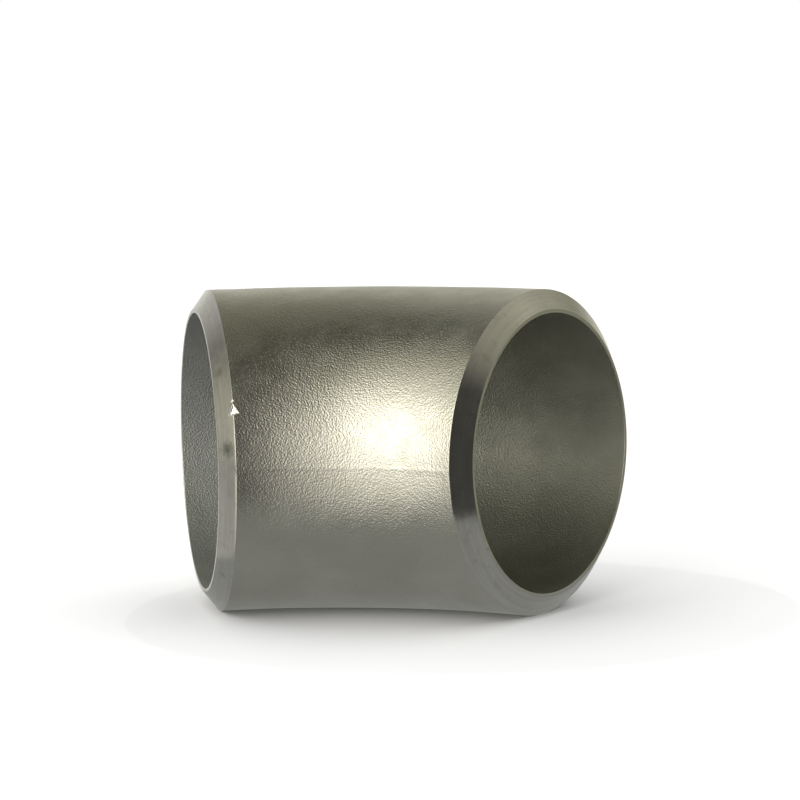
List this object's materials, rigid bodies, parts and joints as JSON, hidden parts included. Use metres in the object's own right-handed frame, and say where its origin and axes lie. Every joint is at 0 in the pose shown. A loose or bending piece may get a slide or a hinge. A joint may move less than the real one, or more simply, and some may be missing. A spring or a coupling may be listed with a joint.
{
  "type": "pipe elbow",
  "caption": "Long-radius butt-weld pipe elbow that turns a line through forty-five degrees: a blasted stainless steel bend with a machined weld bevel at each end.",
  "frame": {"origin": "centre of end A's face, where the pipe's centre line meets the plane of its root face", "axes": "-X leaves end A along pipe A's axis, +Z is square to the bend plane, and end B faces +X turned forty-five degrees towards -Y; the bend's centre is on the -Y side"},
  "size_m": [0.0986, 0.0913, 0.073],
  "materials": {
    "body": "blasted and pickled, matte, with turned bevels",
    "burr": "bright, freshly cut"
  },
  "bodies": {
    "root": {"elbow_body": "body", "bevel_burr": "burr"}
  },
  "joints": []
}
